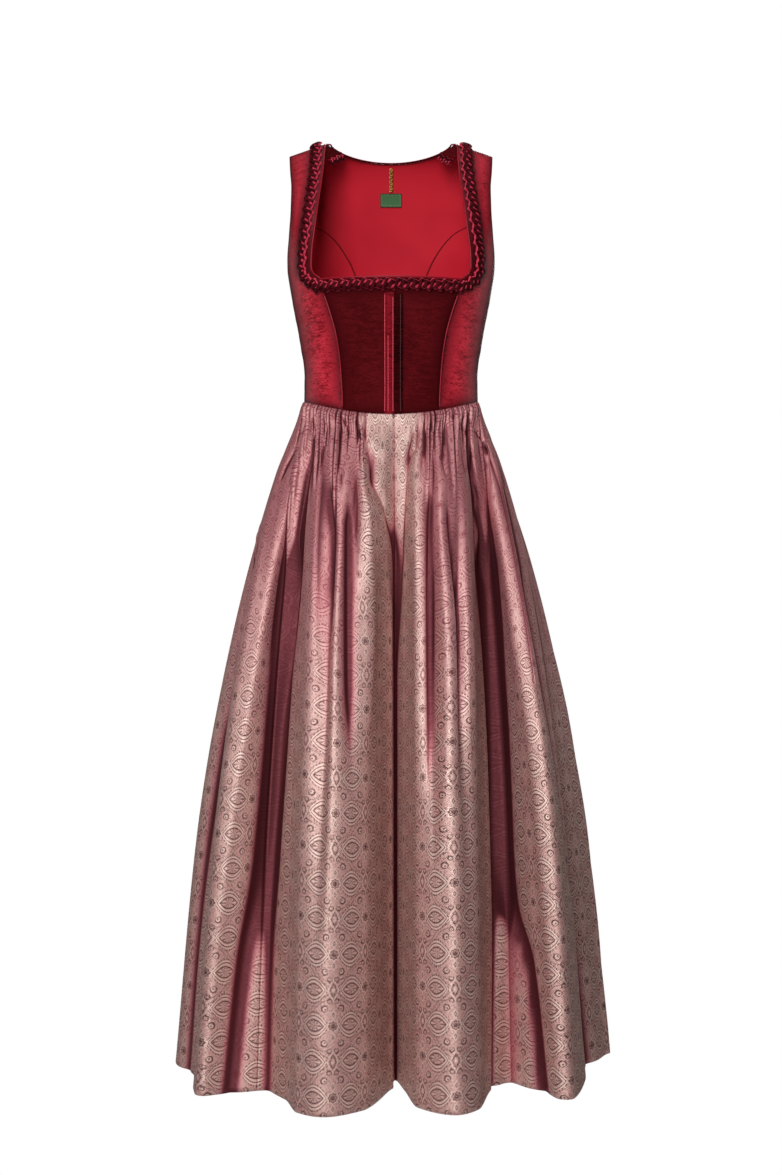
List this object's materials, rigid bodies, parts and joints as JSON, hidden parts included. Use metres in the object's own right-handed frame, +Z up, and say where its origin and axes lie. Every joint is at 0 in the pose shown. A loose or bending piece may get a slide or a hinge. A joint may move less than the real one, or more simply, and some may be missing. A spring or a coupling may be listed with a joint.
{
  "type": "dirndl",
  "caption": "Sleeveless floor-length folk dress: fitted velvet bodice with a wide square neckline edged with ruched trim, over a full gathered jacquard skirt.",
  "frame": {"origin": "midway between the two shoulder seams, where the wearer's shoulders hold the straps up", "axes": "+Z up along the body, -Y towards the dress's front, +X towards the wearer's left"},
  "size_m": [0.6544, 0.61, 1.3771],
  "materials": {
    "side_velvet": "bright red crushed velvet with a strong sheen",
    "centre_velvet": "dark wine velvet, matte",
    "ruche_velvet": "near-black wine velvet ribbon, gathered",
    "piping": "satin piping",
    "lining": "plain red lining cloth, slight sheen",
    "jacquard": "wine and beige figured jacquard, satin sheen",
    "label": "plain woven label",
    "chain": "dull old brass"
  },
  "bodies": {
    "root": {"front_side_left": "side_velvet", "front_side_right": "side_velvet", "front_centre_left": "centre_velvet", "front_centre_right": "centre_velvet", "back_centre": "side_velvet", "back_side_left": "side_velvet", "back_side_right": "side_velvet", "lining_back_centre": "lining", "lining_back_side_left": "lining", "lining_back_side_right": "lining", "placket_right": "side_velvet", "placket_left": "centre_velvet", "princess_piping_left": "piping", "princess_piping_right": "piping", "neckline_piping": "piping", "back_neck_piping": "ruche_velvet", "neckline_ruche": "ruche_velvet", "ruche_end_left": "ruche_velvet", "ruche_end_right": "ruche_velvet", "shoulder_corner_left": "centre_velvet", "shoulder_corner_right": "centre_velvet", "label": "label", "hanging_chain": "chain", "skirt_front_left": "jacquard", "skirt_front_right": "jacquard", "skirt_back_left": "jacquard", "skirt_back_right": "jacquard"}
  },
  "joints": []
}
